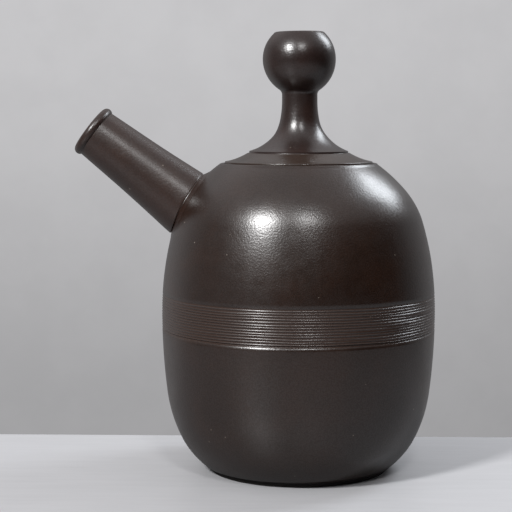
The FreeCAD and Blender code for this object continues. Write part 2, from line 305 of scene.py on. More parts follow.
# ---------------------------------------------------------------- finishes
class Nodes:
    """Short way to add and join the nodes of a material or a world."""

    def __init__(self, tree: bpy.types.NodeTree) -> None:
        """Empty the tree and keep it."""
        self.tree = tree
        tree.nodes.clear()

    def add(self, kind: str, **settings: object) -> bpy.types.Node:
        """Add a node and set its properties.

        Args:
            kind: Type name of the node.
            settings: Properties of the node.

        Returns:
            The node.
        """
        node = self.tree.nodes.new(kind)
        for key, value in settings.items():
            setattr(node, key, value)
        return node

    def put(self, socket: bpy.types.NodeSocket, value: object) -> None:
        """Join an output to a socket, or set the socket to a number or a colour.

        Args:
            socket: Input of a node.
            value: Output of another node, a number, or a colour of three numbers.
        """
        if isinstance(value, bpy.types.NodeSocket):
            self.tree.links.new(value, socket)
        elif isinstance(value, tuple) and len(value) == 3 and socket.type == "RGBA":
            socket.default_value = (*value, 1.0)
        else:
            socket.default_value = value

    def noise(self, vector: object, scale: float, detail: float = 2.0,
              roughness: float = 0.5) -> bpy.types.NodeSocket:
        """Value of a noise texture on a vector.

        Args:
            vector: Output with the coordinates.
            scale: Blotches per metre.
            detail: Number of finer layers.
            roughness: How strong each finer layer is.

        Returns:
            Output between 0 and 1.
        """
        node = self.add("ShaderNodeTexNoise")
        for name, value in (("Vector", vector), ("Scale", scale), ("Detail", detail),
                            ("Roughness", roughness)):
            self.put(node.inputs[name], value)
        return node.outputs["Fac"]

    def spread(self, value: object, low: float, high: float, new_low: float = 0.0,
               new_high: float = 1.0) -> bpy.types.NodeSocket:
        """Map a range of a value onto a new range, smoothly, and hold it at the ends.

        Args:
            value: Output with the value.
            low: Value that becomes new_low.
            high: Value that becomes new_high.
            new_low: Start of the new range.
            new_high: End of the new range.

        Returns:
            Output with the new value.
        """
        node = self.add("ShaderNodeMapRange", interpolation_type="SMOOTHSTEP")
        for name, number in zip(("Value", "From Min", "From Max", "To Min", "To Max"),
                                (value, low, high, new_low, new_high)):
            self.put(node.inputs[name], number)
        return node.outputs["Result"]

    def math(self, operation: str, first: object, second: object = 0.0) -> bpy.types.NodeSocket:
        """Result of an arithmetic node.

        Args:
            operation: Name of the operation, such as MULTIPLY.
            first: First output or number.
            second: Second output or number.

        Returns:
            Output with the result.
        """
        node = self.add("ShaderNodeMath", operation=operation)
        self.put(node.inputs[0], first)
        self.put(node.inputs[1], second)
        return node.outputs["Value"]

    def mix(self, share: object, first: object, second: object) -> bpy.types.NodeSocket:
        """Colour between two, by a share.

        Args:
            share: Output or number from 0, the first colour, to 1, the second.
            first: First colour, or output with one.
            second: Second colour, or output with one.

        Returns:
            Output with the colour.
        """
        node = self.add("ShaderNodeMix", data_type="RGBA")
        for name, value in (("Factor", share), ("A", first), ("B", second)):
            self.put(node.inputs[name], value)
        return node.outputs["Result"]

    def tone(self, colour: object, shade: object) -> bpy.types.NodeSocket:
        """Colour multiplied by a shade.

        Args:
            colour: Colour, or output with one.
            shade: Output with the shade.

        Returns:
            Output with the colour.
        """
        node = self.add("ShaderNodeMix", data_type="RGBA", blend_type="MULTIPLY")
        for name, value in (("Factor", 1.0), ("A", colour), ("B", shade)):
            self.put(node.inputs[name], value)
        return node.outputs["Result"]

    def relief(self, height: object, distance: float, strength: object = 1.0) -> bpy.types.NodeSocket:
        """Normal of a fine relief.

        Args:
            height: Output with the relief, from 0 to 1.
            distance: Height of the relief in metres.
            strength: Share of it that shows, as an output or a number.

        Returns:
            Output with the normal.
        """
        node = self.add("ShaderNodeBump")
        for name, value in (("Strength", strength), ("Distance", distance), ("Height", height)):
            self.put(node.inputs[name], value)
        return node.outputs["Normal"]

    def surface(self, inputs: dict[str, object]) -> bpy.types.Node:
        """End a material with a Principled surface.

        Args:
            inputs: Outputs, colours or numbers, by the name of the socket.

        Returns:
            The surface's node.
        """
        node = self.add("ShaderNodeBsdfPrincipled")
        for name, value in inputs.items():
            self.put(node.inputs[name], value)
        out = self.add("ShaderNodeOutputMaterial")
        self.put(out.inputs["Surface"], node.outputs["BSDF"])
        return node


@dataclass(frozen=True)
class Stoneware:
    """Dark clay, burnished or bare: mottled, with fine grit that glints.

    Attributes:
        name: Name of the material.
        dark: Colour of most of the clay.
        warm: Redder colour of its cloudy patches.
        grit: Colour of the rare light grains.
        roughness: Roughness of the burnished clay.
        unevenness: How far patches differ in roughness.
        tooth: Height of the finest relief, in millimetres.
        grain_size: Size of the finest relief, in millimetres.
        glint: How much more or less than usual the finest grains reflect.
        clouds: Cloudy patches per metre.
        cloud_edges: Levels of the cloudy noise at which the warm clay starts and is full.
        mottling: How much lighter or darker the finest grains are.
        sheens: Patches of more or less gloss per metre.
        glints: Finest grains per metre.
        grits: Cells per metre that may hold a light grain.
        grit_edge: Distances from a cell's middle between which its light grain ends.
        grit_patches: Patches per metre in which such grains show.
        grit_rarity: Levels of that noise at which they start and are full.
        specular: Strength of the reflection.
        ior: Index of refraction of the burnished skin.
        raw_clay_and_highlight_tint: Colour of raw clay in incised lines and on worn edges, and a painted
            highlight on the spout's lit root edge.
        groove_gloss: Share of the reflection that raw clay keeps.
        groove_tooth: Share of the finest relief that raw clay keeps, where the comb dragged it flat.
    """

    name: str
    dark: Colour
    warm: Colour
    grit: Colour = (0.30, 0.25, 0.21)
    roughness: float = 0.30
    unevenness: float = 0.04
    tooth: float = 0.050
    grain_size: float = 0.6
    glint: float = 0.11
    clouds: float = 70.0
    cloud_edges: tuple[float, float] = (0.36, 0.68)
    mottling: float = 0.14
    sheens: float = 240.0
    glints: float = 2300.0
    grits: float = 260.0
    grit_edge: tuple[float, float] = (0.04, 0.075)
    grit_patches: float = 95.0
    grit_rarity: tuple[float, float] = (0.62, 0.66)
    specular: float = 0.63
    ior: float = 1.75
    raw_clay_and_highlight_tint: Colour | None = None
    groove_gloss: float = 1.0
    groove_tooth: float = 1.0

    def material(self) -> bpy.types.Material:
        """Build the material on Object coordinates.

        Returns:
            The material.
        """
        made = bpy.data.materials.new(self.name)
        made.use_nodes = True
        nodes = Nodes(made.node_tree)
        place = nodes.add("ShaderNodeTexCoord").outputs["Object"]
        cloud = nodes.noise(place, self.clouds, detail=3.0, roughness=0.55)
        patch = nodes.spread(cloud, *self.cloud_edges)
        fine = nodes.noise(place, 1 / (self.grain_size * MM), detail=2.0, roughness=0.6)
        shade = nodes.spread(fine, *MIDDLING, 1 - self.mottling, 1 + self.mottling)
        colour = nodes.tone(nodes.mix(patch, self.dark, self.warm), shade)
        mirror = nodes.spread(nodes.noise(place, self.glints, detail=1.0, roughness=0.5), 0.33, 0.67,
                              self.specular * (1 - self.glint), self.specular * (1 + self.glint))
        rub: object = 1.0
        # The attribute groove carries raw clay's lighter colour: in the band's incised lines, and on the
        # spout's root edge, where it is also a painted highlight.
        if self.raw_clay_and_highlight_tint is not None:
            depth = nodes.add("ShaderNodeAttribute", attribute_name="groove").outputs["Fac"]
            colour = nodes.mix(depth, colour, self.raw_clay_and_highlight_tint)
            kept = nodes.spread(depth, 0.0, 1.0, 1.0, self.groove_gloss)
            mirror = nodes.math("MULTIPLY", mirror, kept)
            rub = nodes.spread(depth, 0.0, 0.5, 1.0, self.groove_tooth)
        speck = nodes.add("ShaderNodeTexVoronoi", feature="F1")
        nodes.put(speck.inputs["Vector"], place)
        nodes.put(speck.inputs["Scale"], self.grits)
        fleck = nodes.spread(speck.outputs["Distance"], *self.grit_edge, 1.0, 0.0)
        rare = nodes.spread(nodes.noise(place, self.grit_patches, detail=0.0), *self.grit_rarity)
        colour = nodes.mix(nodes.math("MULTIPLY", fleck, rare), colour, self.grit)
        sheen = nodes.noise(place, self.sheens, detail=3.0, roughness=0.6)
        rough = nodes.spread(sheen, *MIDDLING, self.roughness - self.unevenness / 2,
                             self.roughness + self.unevenness / 2)
        relief = nodes.relief(fine, self.tooth * MM, rub)
        surface = nodes.surface({"Base Color": colour, "Roughness": rough, "Normal": relief,
                                 "Specular IOR Level": self.specular, "IOR": self.ior})
        nodes.put(surface.inputs["Specular IOR Level"], mirror)
        return made


BURNISHED = Stoneware("body_clay", dark=(0.0180, 0.0077, 0.0043), warm=(0.0240, 0.0100, 0.0054),
                      raw_clay_and_highlight_tint=(0.050, 0.027, 0.019), groove_gloss=0.6, groove_tooth=0.15)
# The spout's light tan tint marks its root edge: worn raw clay, and a painted highlight, strongest on the
# upper side.
BURNISHED_SPOUT = Stoneware("spout_clay", dark=(0.0260, 0.0104, 0.0062), warm=(0.0330, 0.0128, 0.0072),
                            raw_clay_and_highlight_tint=(0.24, 0.135, 0.090), roughness=0.38, specular=0.55)
BURNISHED_LID = Stoneware("lid_clay", dark=(0.0300, 0.0160, 0.0100), warm=(0.0350, 0.0180, 0.0106))
BURNISHED_KNOB = Stoneware("knob_clay", dark=(0.0225, 0.0125, 0.0105), warm=(0.0300, 0.0145, 0.0112),
                           specular=0.54)
LUTING = Stoneware("luting_clay", dark=(0.0200, 0.0080, 0.0045), warm=(0.0260, 0.0100, 0.0052),
                   roughness=0.33, tooth=0.03)
BARE = Stoneware("foot_clay", dark=(0.014, 0.0115, 0.0110), warm=(0.018, 0.0140, 0.0125),
                 roughness=0.75, tooth=0.05, specular=0.3)


# ---------------------------------------------------------------- the bottle's skin
@dataclass
class Skin:
    """Outline of the body: tangent arcs that meet at given leans, from the heel to the rim.

    Attributes:
        belly_radius: Radius at the widest point.
        foot_height: Height at which the heel meets the foot.
        upper: Radii of the belly's, shoulder's and neck's arcs.
        upper_leans: Leans at which the shoulder's and the neck's arcs start.
        lower: Radii of the heel's, hip's and lower belly's arcs.
        lower_leans: Leans, downwards, at which the heel ends and the heel and the hip start.
        rim_radius: Radius at which the skin ends.
        belly_height: Height of the widest point.
        heel_lean: Lean of the skin where it starts, in radians.
        rim_lean: Lean of the skin where it ends, in radians.
        arcs: Centre, radius, lowest and highest lean of each arc, from the heel upwards.
    """

    belly_radius: float
    foot_height: float
    upper: tuple[float, float, float] = (108.0, 29.95, 56.0)
    upper_leans: tuple[float, float] = (17.1, 41.7)
    lower: tuple[float, float, float] = (28.85, 49.4, 220.0)
    lower_leans: tuple[float, float, float] = (51.6, 25.7, 7.1)
    rim_radius: float = 27.1
    belly_height: float = field(init=False)
    heel_lean: float = field(init=False)
    rim_lean: float = field(init=False)
    arcs: list[tuple[Array, float, float, float]] = field(init=False)

    def __post_init__(self) -> None:
        """Work out the centres of the arcs and the height of the widest point."""
        heel_end, heel, hip = (math.radians(lean) for lean in self.lower_leans)
        shoulder, neck = (math.radians(lean) for lean in self.upper_leans)
        drops = zip(self.lower, (heel_end, heel, hip), (heel, hip, 0.0))
        self.belly_height = self.foot_height + sum(
            radius * (math.sin(low) - math.sin(high)) for radius, low, high in drops)
        widest = np.array([self.belly_radius, self.belly_height])
        belly_arc, shoulder_arc, neck_arc = self.upper
        heel_arc, hip_arc, low_arc = self.lower
        belly_centre = widest - np.array([belly_arc, 0.0])
        shoulder_centre = belly_centre + facing(shoulder) * (belly_arc - shoulder_arc)
        neck_centre = shoulder_centre + facing(neck) * (shoulder_arc - neck_arc)
        low_centre = widest - np.array([low_arc, 0.0])
        hip_centre = low_centre + facing(-hip) * (low_arc - hip_arc)
        heel_centre = hip_centre + facing(-heel) * (hip_arc - heel_arc)
        self.arcs = [
            (heel_centre, heel_arc, -heel_end, -heel), (hip_centre, hip_arc, -heel, -hip),
            (low_centre, low_arc, -hip, 0.0), (belly_centre, belly_arc, 0.0, shoulder),
            (shoulder_centre, shoulder_arc, shoulder, neck),
            (neck_centre, neck_arc, neck, math.pi / 2),
        ]
        self.heel_lean = -heel_end
        self.rim_lean = math.acos((self.rim_radius - neck_centre[0]) / neck_arc)

    def point(self, lean: float, depth: float = 0.0) -> Array:
        """Place of the skin with a lean: the arc's centre plus its radius along the lean.

        Args:
            lean: Lean of the skin, in radians.
            depth: Distance under the skin.

        Returns:
            Radius and height.
        """
        for centre, radius, low, high in self.arcs:
            if low <= lean <= high:
                return centre + facing(lean) * (radius - depth)
        raise ValueError(f"the skin has no lean of {lean}")

    def lean_at(self, height: float, depth: float = 0.0) -> float:
        """Lean of the skin where it passes a height.

        Args:
            height: The height.
            depth: Distance under the skin.

        Returns:
            The lean, in radians.
        """
        for centre, radius, low, high in self.arcs:
            share = (height - centre[1]) / (radius - depth)
            if math.sin(low) <= share <= math.sin(high):
                return math.asin(share)
        raise ValueError(f"the skin does not pass {height}")

    def further_down(self, lean: float, distance: float) -> float:
        """Lean of the skin at a distance down it from another lean.

        Args:
            lean: Lean to start from, in radians.
            distance: Distance along the skin.

        Returns:
            The lean, in radians.
        """
        for _, radius, low, _ in reversed(self.arcs):
            if low < lean:
                if distance <= (lean - low) * radius:
                    return lean - distance / radius
                distance -= (lean - low) * radius
                lean = low
        raise ValueError("the skin is too short")

    def run(self, outline: Outline, start: float, end: float, depth: float = 0.0,
            spacing: float | None = None) -> None:
        """Add the stretch between two leans to an outline, upwards or downwards.

        Args:
            outline: The outline to carry on.
            start: First lean, in radians.
            end: Last lean, in radians.
            depth: Distance under the skin.
            spacing: Distance between points, if it isn't the outline's own.
        """
        low_end, high_end = min(start, end), max(start, end)
        stretches = [(centre, radius - depth, max(low, low_end), min(high, high_end))
                     for centre, radius, low, high in self.arcs]
        stretches = [stretch for stretch in stretches if stretch[3] - stretch[2] > 1e-6]
        if end < start:
            stretches = [(centre, radius, high, low) for centre, radius, low, high in reversed(stretches)]
        for centre, radius, first, last in stretches:
            outline.arc(centre, radius, first, last, spacing=spacing)

    def lift(self, places: Array) -> Array:
        """Height of places over the skin, square to it.

        It is their distance to an arc's centre less its radius, for the arc that they stand over.

        Args:
            places: Places by x, y, z.

        Returns:
            Height of each place, negative inside the clay.
        """
        radius = np.hypot(places[..., 0], places[..., 1])
        height = places[..., 2]
        result = np.full(radius.shape, np.nan)
        for centre, curve, low, high in self.arcs:
            lean = np.arctan2(height - centre[1], radius - centre[0])
            over = (lean >= low) & (lean <= high)
            away = np.hypot(height - centre[1], radius - centre[0]) - curve
            result = np.where(over, away, result)
        return result


# ---------------------------------------------------------------- the vessel
@dataclass
class Piece:
    """What every piece shares.

    Attributes:
        node: Construction node that it stands for.
        body: Body that it rides on.
        slot: Material slot of that node; not used.
        finish: What its clay looks like.
    """

    node: str
    body: Body
    slot: str
    finish: Stoneware

    def build(self) -> bpy.types.Object:
        """Build the piece, as each kind of piece does in its own way."""
        raise NotImplementedError

    def dress(self, piece: bpy.types.Object) -> None:
        """Give the piece its finish, let it ride on its body and stand for its node.

        Args:
            piece: The finished mesh.
        """
        piece.data.materials.clear()
        piece.data.materials.append(self.finish.material())
        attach(piece, self.body)
        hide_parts(self.node)
        triangles = sum(len(face.vertices) - 2 for face in piece.data.polygons)
        log.info("%s: %d triangles", piece.name, triangles)


@dataclass
class Band:
    """Comb-cut band round the belly.

    Attributes:
        middle: Height of its middle.
        count: Number of grooves.
        pitch: Height of one groove.
        depth: Depth of a groove half way between its ridges.
        last_depth: Further depth of the lowest groove, where the comb's last tooth dug in.
        wander: How far a ridge strays up or down.
        crumbling: How much of a ridge is lost where it has crumbled.
        chatter: Depth of the comb's chatter.
        breathing: Share by which a groove's depth comes and goes.
        smearing: Share of its depth that a groove loses beside a crumbled ridge.
        weak: Grooves whose ridges crumbled most, from the lowest.
        firmness: Share of that crumbling on the other ridges.
        edge_wander: Share of the wander that the band's own edges have.
        seed: Seed of its unevenness.
        shares: How far through its groove each row of places is.
    """

    middle: float
    count: int = 14
    pitch: float = 0.9
    depth: float = 0.23
    last_depth: float = 0.14
    wander: float = 0.05
    crumbling: float = 0.045
    chatter: float = 0.003
    breathing: float = 0.13
    smearing: float = 0.35
    weak: tuple[int, ...] = (3, 5, 6)
    firmness: float = 0.25
    edge_wander: float = 0.3
    seed: int = 11
    shares: tuple[float, ...] = (0.0, 0.1, 0.24, 0.42, 0.58, 0.76, 0.9)

    @property
    def low(self) -> float:
        """Height of the band's lower edge."""
        return self.middle - self.count * self.pitch / 2

    @property
    def high(self) -> float:
        """Height of the band's upper edge."""
        return self.middle + self.count * self.pitch / 2

    def rows(self) -> tuple[Array, Array]:
        """Heights of the band's rows, and how far through its groove each one is.

        Returns:
            Height of each row, and its share of the groove, 0 on a ridge.
        """
        groove = np.arange(self.count)[:, None]
        share = np.array(self.shares)[None, :]
        heights = (self.low + (groove + share) * self.pitch).reshape(-1)
        through = np.broadcast_to(share, (self.count, share.shape[1])).reshape(-1)
        return np.append(heights, self.high), np.append(through, 0.0)

    def relief(self, around: int) -> tuple[Array, Array, Array]:
        """Depth under the skin, shift upwards and rawness of the band's rows.

        A groove is a parabola, depth times 4 t (1 - t), whose depth breathes along it.  A ridge
        loses clay where slow noise and fine noise are both high.

        Args:
            around: Number of turns.

        Returns:
            Three grids of turns by rows.
        """
        _, through = self.rows()
        rows = len(through)
        row = np.arange(rows)
        groove = np.minimum(row // len(self.shares), self.count - 1)
        breath = grain((around, self.count), blur=(9.0, 0.3), seed=self.seed)[:, groove]
        depth = self.depth * (1 + self.breathing * breath) + self.last_depth * (groove == 0)
        hollow = 4 * through * (1 - through)
        patch = smooth(0.4, 1.6, grain((around, rows), blur=(11.0, 6.0), seed=self.seed + 1))
        crumb = smooth(0.1, 1.5, grain((around, rows), blur=(3.0, 1.0), seed=self.seed + 2))
        chatter = self.chatter * grain((around, rows), blur=(4.0, 0.8), seed=self.seed + 3)
        weakness = self.firmness + np.isin(groove, self.weak) * (1 - self.firmness)
        inside = smooth(0.0, 3.0, row) * smooth(0.0, 3.0, rows - 1.0 - row)
        lost = self.crumbling * weakness * np.maximum(patch, 0.2) * crumb * (1 - 0.7 * hollow)
        drop = depth * hollow * (1 - self.smearing * patch * crumb)
        drop = drop + inside * (lost + np.maximum(chatter, 0.0))
        line = grain((around, self.count + 1), blur=(7.0, 0.6), seed=self.seed + 4)
        line[:, (0, -1)] *= self.edge_wander
        place = row / len(self.shares)
        low = np.minimum(place.astype(int), self.count - 1)
        shift = line[:, low] * (1 - (place - low)) + line[:, low + 1] * (place - low)
        raw = np.clip(hollow + lost / self.crumbling, 0.0, 1.0)
        return drop, self.wander * shift, raw


@dataclass
class BottleBody(Piece):
    """Thrown body: skin, rim, sunk ledge, mouth, lining and floor, with the comb-cut band.

    Attributes:
        skin: Its outer outline.
        band: The band.
        cutter: Piece whose shape is cut out of the wall for the spout.
        ledge_radius: Radius of the sunk ledge for the lid.
        ledge_width: Width of the ledge.
        ledge_depth: Depth of the ledge under the rim.
        ledge_thickness: Thickness of the ledge.
        rim_rounding: Radius of the rim's rounding.
        wall: Thickness of the wall.
        base_thickness: Thickness of the floor.
        ledge_chamfer: Chamfer of the rim's inner edge.
        true_radius: Radius inside which the rim is left true.
        unevenness: How far the skin strays inwards.
        throwing_marks: Depth of the faint rings that the fingers left.
        shoulder_sink: How much flatter it was thrown just outside the rim.
        sunk_leans: Leans at which that starts, is full, is still full, and ends.
        fullness: How much fuller it was thrown over the belly on the side away from the spout.
        full_leans: Leans at which that starts, is full, is still full, and ends.
        spout_side: Levels of 1 + cos(turn) between which the skin may start to stray.
        spout_drop: Distances under the top between which it may, under the spout too.
        crease: Angle past which an edge is drawn sharp, wider than the grooves' own.
        around: Number of turns in the mesh.
    """

    skin: Skin
    band: Band
    cutter: bpy.types.Object
    ledge_radius: float = 25.75
    ledge_width: float = 5.15
    ledge_depth: float = 2.6
    ledge_thickness: float = 3.2
    rim_rounding: float = 1.5
    wall: float = 4.0
    base_thickness: float = 4.5
    ledge_chamfer: float = 0.12
    true_radius: float = 26.9
    unevenness: float = 0.05
    throwing_marks: float = 0.004
    shoulder_sink: float = 0.12
    sunk_leans: tuple[float, float, float, float] = (24.0, 44.0, 56.0, 66.0)
    fullness: float = 0.12
    full_leans: tuple[float, float, float, float] = (4.0, 12.0, 19.0, 31.0)
    spout_side: tuple[float, float] = (0.25, 0.6)
    spout_drop: tuple[float, float] = (12.0, 40.0)
    crease: float = 66.0
    around: int = 400

    def build(self) -> bpy.types.Object:
        """Turn the body, cut its band and the spout's hole, and dress it.

        Each place of the section is moved under the skin, along its normal, by the grooves' depth
        and by what the hand left, and then turned about the axis.

        Returns:
            The piece.
        """
        below, belt, above = self.outline()
        section = np.concatenate([below, belt, above])
        normal = section_normals(section)
        first, last = len(below), len(below) + len(belt)
        turn = turns(self.around)
        outside = np.arange(len(section)) < last + int(np.searchsorted(-above[:, 0], -self.true_radius))
        drop = self.hand(turn, section, normal, outside)
        raw, shift = np.zeros(drop.shape), np.zeros(drop.shape)
        cut, shift[:, first:last], raw[:, first:last] = self.band.relief(self.around)
        drop[:, first:last] += cut
        radius = section[:, 0] - normal[:, 0] * drop
        height = section[:, 1] - normal[:, 1] * drop + shift
        places = swept(turn, radius, height)
        piece = add_mesh("bottle_body_clay", places, ring=False, attributes={"groove": raw},
                         crease=self.crease)
        pierce(piece, self.cutter)
        piece.data.set_sharp_from_angle(angle=math.radians(self.crease))
        self.dress(piece)
        return piece

    def outline(self) -> tuple[Array, Array, Array]:
        """Section of the body, from the middle of its underside to the middle of its floor.

        Returns:
            Points below the band, the band's rows, and points above it.
        """
        skin, band = self.skin, self.band
        floor_height = skin.foot_height + self.base_thickness
        rim_centre = skin.point(skin.rim_lean) - facing(skin.rim_lean) * self.rim_rounding
        rim_height = rim_centre[1] + self.rim_rounding
        ledge_height = rim_height - self.ledge_depth
        mouth_radius = self.ledge_radius - self.ledge_width
        under_ledge = ledge_height - self.ledge_thickness
        chamfer = self.ledge_chamfer

        heel = skin.point(skin.heel_lean)
        low = Outline(0.0, skin.foot_height, spacing=6.0)
        low.line(heel[0] - 0.5, skin.foot_height).line(*heel)
        skin.run(low, skin.heel_lean, skin.lean_at(band.low), spacing=1.25)
        rows, _ = band.rows()
        belt = np.array([skin.point(skin.lean_at(height)) for height in rows])
        start = skin.point(skin.lean_at(band.high))
        high = Outline(*start, spacing=1.25)
        skin.run(high, skin.lean_at(band.high), skin.rim_lean)
        high.arc(rim_centre, self.rim_rounding, skin.rim_lean, QUARTER, spacing=0.25)
        high.line(self.ledge_radius + chamfer, rim_height, spacing=0.2)
        high.line(self.ledge_radius, rim_height - chamfer, spacing=0.2)
        high.line(self.ledge_radius, ledge_height, spacing=0.6)
        high.line(mouth_radius, ledge_height, spacing=1.5).line(mouth_radius, under_ledge, spacing=1.2)
        ledge_lean = skin.lean_at(under_ledge, self.wall)
        high.line(*skin.point(ledge_lean, self.wall))
        floor_lean = skin.lean_at(floor_height, self.wall)
        skin.run(high, ledge_lean, floor_lean, depth=self.wall, spacing=4.0)
        high.line(0.0, floor_height, spacing=6.0)
        return low.points()[:-1], belt, high.points()[1:]

    def hand(self, turn: Array, section: Array, normal: Array, outside: Array) -> Array:
        """How far the thrower's hand left the skin under its true outline.

        It is the sum of slow waves, faint rings, the sunk shoulder and, negative, the fuller belly.

        Args:
            turn: Angles, as a column.
            section: Points of the section.
            normal: Outward normal of each point.
            outside: Which points are on the outside.

        Returns:
            Grid of turns by points.
        """
        along = np.concatenate([[0.0], np.cumsum(np.linalg.norm(np.diff(section, axis=0), axis=1))])
        fade = smooth(0.0, 12.0, along) * outside
        sway = waves(turn, along[None, :], seed=3, turns_up_to=4, length=45.0)
        marks = grain((self.around, len(section)), blur=(14.0, 1.5), seed=5)
        drop = (0.5 + 0.5 * np.clip(sway, -1, 1)) * self.unevenness
        drop = drop + self.throwing_marks * np.clip(marks, -2, 2)
        lean = np.degrees(np.arctan2(normal[:, 1], normal[:, 0])) * outside
        sunk = plateau(self.sunk_leans, lean)
        full = plateau(self.full_leans, lean) * smooth(-0.2, 0.9, np.cos(turn))
        drop = np.maximum(drop, 0.0) * fade + self.shoulder_sink * sunk
        return drop * self.away_from_spout(turn, section) - self.fullness * full

    def away_from_spout(self, turn: Array, section: Array) -> Array:
        """0 round the spout's root, where the skin stays true for the collar, and 1 elsewhere.

        Args:
            turn: Angles, as a column.
            section: Points of the section.

        Returns:
            Grid of turns by points.
        """
        low_down = smooth(*self.spout_drop, section[:, 1].max() - section[:, 1])
        return np.clip(smooth(*self.spout_side, 1 + np.cos(turn)) + low_down, 0.0, 1.0)


def pierce(piece: bpy.types.Object, cutter: bpy.types.Object) -> None:
    """Cut the cutter's shape out of a piece, for good, and remove the cutter.

    Args:
        piece: Piece to cut.
        cutter: Closed mesh to cut with.
    """
    modifier = piece.modifiers.new("hole", "BOOLEAN")
    modifier.operation = "DIFFERENCE"
    modifier.solver = "MANIFOLD"
    modifier.object = cutter
    bpy.context.view_layer.update()
    evaluated = piece.evaluated_get(bpy.context.evaluated_depsgraph_get())
    cut_mesh = bpy.data.meshes.new_from_object(evaluated)
    piece.modifiers.clear()
    piece.data = cut_mesh
    bpy.data.objects.remove(cutter)


@dataclass
class FootRing(Piece):
    """Low ring that the bottle stands on.

    Attributes:
        radius: Outer radius.
        height: Height, up to the body.
        width: Width of the ring.
        rounding: Radius where it meets the table.
        wear: How far its outside is worn.
        around: Number of turns in the mesh.
    """

    radius: float
    height: float
    width: float = 5.5
    rounding: float = 0.6
    wear: float = 0.05
    around: int = 288

    def build(self) -> bpy.types.Object:
        """Turn the ring, wear its outside and dress it.

        Returns:
            The piece.
        """
        inner = self.radius - self.width
        outer_centre = np.array([self.radius - self.rounding, self.rounding])
        inner_centre = np.array([inner + self.rounding, self.rounding])
        ring = Outline(self.radius, self.rounding, spacing=0.45)
        ring.line(self.radius, self.height).line(inner, self.height).line(inner, self.rounding)
        ring.arc(inner_centre, self.rounding, -2 * QUARTER, -QUARTER, spacing=0.2)
        ring.line(outer_centre[0], 0.0)
        ring.arc(outer_centre, self.rounding, -QUARTER, 0.0, spacing=0.2)
        section = ring.points()[:-1]
        turn = turns(self.around)
        free = (section[:, 1] > self.wear) & (section[:, 1] < self.height - self.wear)
        outer = section[:, 0] > self.radius - 1.0
        chips = np.abs(grain((self.around, len(section)), blur=(5.0, 1.0), seed=21))
        drop = self.wear * chips * free * outer
        piece = add_mesh("foot_ring_clay", swept(turn, section[:, 0] - drop, section[:, 1]), ring=True)
        self.dress(piece)
        return piece


# ---------------------------------------------------------------- the spout
@dataclass
class SpoutAxis:
    """Slanting axis of the spout, and the ways to reach places round it.

    Attributes:
        skin: The body's outline, which the spout's root follows.
        rim_gap: Distance down the skin from the rim to the collar.
        reach: Outer radius of the collar.
        elevation: Slope of the axis over level, in degrees.
        length: From the skin to the face of the lip.
        root_bore: Radius of the bore at the root.
        mouth_bore: Radius of the bore at the lip.
        seat_height: Height of the root's edge over the skin.
        seat_drop: How much lower that edge is on the underside.
        search: Distance to either side of the root within which a height is looked for.
        halvings: How often that range is halved.
        cut: Distances along the axis between which the bore is cut out of the body.
        root: Where the axis meets the skin.
        outwards: Direction of the axis.
        across: Direction square to the axis and upwards.
        level: Direction square to both.
    """

    skin: Skin
    rim_gap: float = 3.0
    reach: float = 14.85
    elevation: float = 37.5
    length: float = 40.85
    root_bore: float = 7.7
    mouth_bore: float = 6.15
    seat_height: float = 1.0
    seat_drop: float = 0.5
    search: float = 12.0
    halvings: int = 24
    cut: tuple[float, float] = (-12.0, 4.0)
    root: Array = field(init=False)
    outwards: Array = field(init=False)
    across: Array = field(init=False)
    level: Array = field(init=False)

    def __post_init__(self) -> None:
        """Work out the root and the three directions."""
        lean = self.skin.further_down(self.skin.rim_lean, self.rim_gap + self.reach)
        root = self.skin.point(lean)
        slope = math.radians(self.elevation)
        self.root = np.array([-root[0], 0.0, root[1]])
        self.outwards = np.array([-math.cos(slope), 0.0, math.sin(slope)])
        self.across = np.array([math.sin(slope), 0.0, math.cos(slope)])
        self.level = np.array([0.0, 1.0, 0.0])

    def places(self, turn: Array, radius: Array, height: Array) -> Array:
        """Places about the axis: the root, plus radius along the turn, plus height along the axis.

        Args:
            turn: Angles, from the upper side.
            radius: Distances from the axis.
            height: Distances along it.

        Returns:
            Places by x, y, z.
        """
        turn, radius, height = (value[..., None] for value in np.broadcast_arrays(turn, radius, height))
        side = self.across * np.cos(turn) + self.level * np.sin(turn)
        return self.root + side * radius + self.outwards * height

    def seat(self, turn: Array) -> Array:
        """Height of the root's edge over the skin at each turn."""
        return self.seat_height - self.seat_drop * smooth(0.1, 1.0, -np.cos(turn))

    def bore(self, height: Array) -> Array:
        """Radius of the tapered bore."""
        return self.root_bore - (self.root_bore - self.mouth_bore) * height / self.length

    def height_for_lift(self, turn: Array, radius_at: Callable[[Array], Array], lift: Array) -> Array:
        """Height along the axis at which a surface round it reaches a lift over the skin.

        Found by halving the range again and again, for the whole grid at once.

        Args:
            turn: Angles, as a column.
            radius_at: Radius of the surface as a function of height.
            lift: Lift asked for, as a row or a grid.

        Returns:
            Grid of heights.
        """
        shape = np.broadcast_shapes(turn.shape, np.shape(lift))
        low, high = np.full(shape, -self.search), np.full(shape, self.search)
        for _ in range(self.halvings):
            middle = (low + high) / 2
            reached = self.skin.lift(self.places(turn, radius_at(middle), middle)) < lift
            low, high = np.where(reached, middle, low), np.where(reached, high, middle)
        return (low + high) / 2

    def cutter(self) -> bpy.types.Object:
        """Closed cone in the shape of the bore, from inside the body to past its skin.

        Returns:
            The cone, to be used up by the cut.
        """
        heights = np.repeat(self.cut, 2)
        radii = self.bore(heights) * np.array([0.0, 1.0, 1.0, 0.0])
        return add_mesh("bore_cutter", self.places(turns(96), radii, heights), ring=False)


